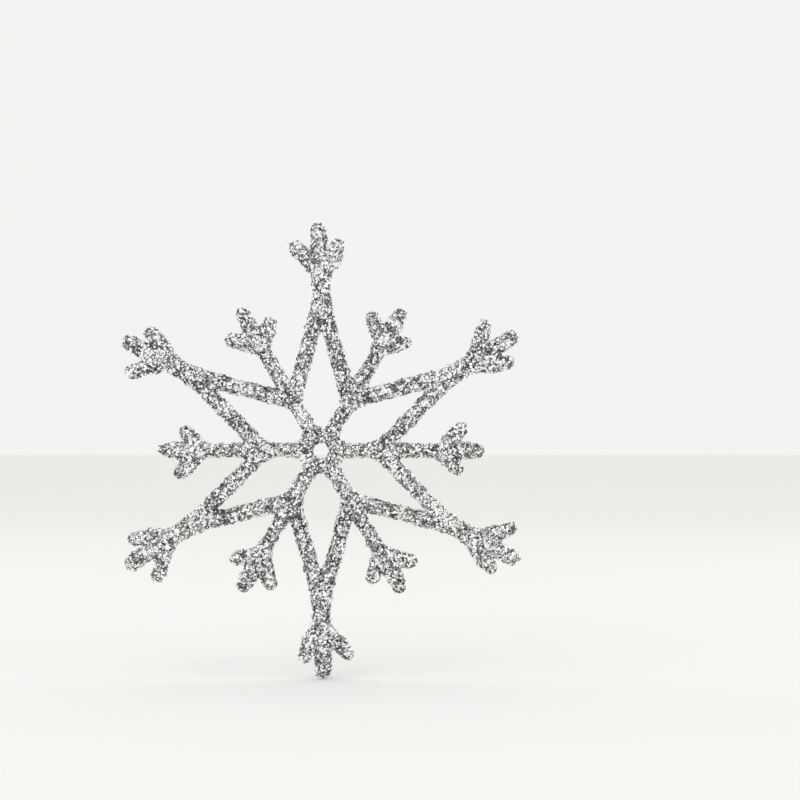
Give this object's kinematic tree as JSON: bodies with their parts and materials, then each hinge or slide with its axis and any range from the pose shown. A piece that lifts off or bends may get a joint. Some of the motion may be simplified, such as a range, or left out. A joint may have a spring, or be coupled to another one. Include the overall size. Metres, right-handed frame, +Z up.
{
  "type": "snowflake ornament",
  "caption": "Flat six-fold snowflake star of glued round rods around a hexagonal hub ring, all coated in chunky silver glitter; stands with one crown pushed into snow or foam.",
  "frame": {"origin": "middle of the hub ring's hole, half way through its thickness", "axes": "-Y is the front, +Y the flat back of the hub, +Z up along the top long arm, +X to the right seen from the front"},
  "size_m": [0.1318, 0.0056, 0.15],
  "materials": {
    "hub_glitter": "laminated card coated in chunky silver glitter",
    "rod_glitter": "rolled paper rod coated in chunky silver glitter",
    "prong_glitter": "rolled paper rod with a round end, coated in chunky silver glitter"
  },
  "bodies": {
    "root": {"hub_ring": "hub_glitter", "short_arm_1": "rod_glitter", "long_arm_1": "rod_glitter", "strut_1_left": "rod_glitter", "long_prong_1_left": "prong_glitter", "short_prong_1_left": "prong_glitter", "strut_1_right": "rod_glitter", "long_prong_1_right": "prong_glitter", "short_prong_1_right": "prong_glitter", "short_arm_2": "rod_glitter", "long_arm_2": "rod_glitter", "strut_2_left": "rod_glitter", "long_prong_2_left": "prong_glitter", "short_prong_2_left": "prong_glitter", "strut_2_right": "rod_glitter", "long_prong_2_right": "prong_glitter", "short_prong_2_right": "prong_glitter", "short_arm_3": "rod_glitter", "long_arm_3": "rod_glitter", "strut_3_left": "rod_glitter", "long_prong_3_left": "prong_glitter", "short_prong_3_left": "prong_glitter", "strut_3_right": "rod_glitter", "long_prong_3_right": "prong_glitter", "short_prong_3_right": "prong_glitter", "short_arm_4": "rod_glitter", "long_arm_4": "rod_glitter", "strut_4_left": "rod_glitter", "long_prong_4_left": "prong_glitter", "short_prong_4_left": "prong_glitter", "strut_4_right": "rod_glitter", "long_prong_4_right": "prong_glitter", "short_prong_4_right": "prong_glitter", "short_arm_5": "rod_glitter", "long_arm_5": "rod_glitter", "strut_5_left": "rod_glitter", "long_prong_5_left": "prong_glitter", "short_prong_5_left": "prong_glitter", "strut_5_right": "rod_glitter", "long_prong_5_right": "prong_glitter", "short_prong_5_right": "prong_glitter", "short_arm_6": "rod_glitter", "long_arm_6": "rod_glitter", "strut_6_left": "rod_glitter", "long_prong_6_left": "prong_glitter", "short_prong_6_left": "prong_glitter", "strut_6_right": "rod_glitter", "long_prong_6_right": "prong_glitter", "short_prong_6_right": "prong_glitter"}
  },
  "joints": []
}
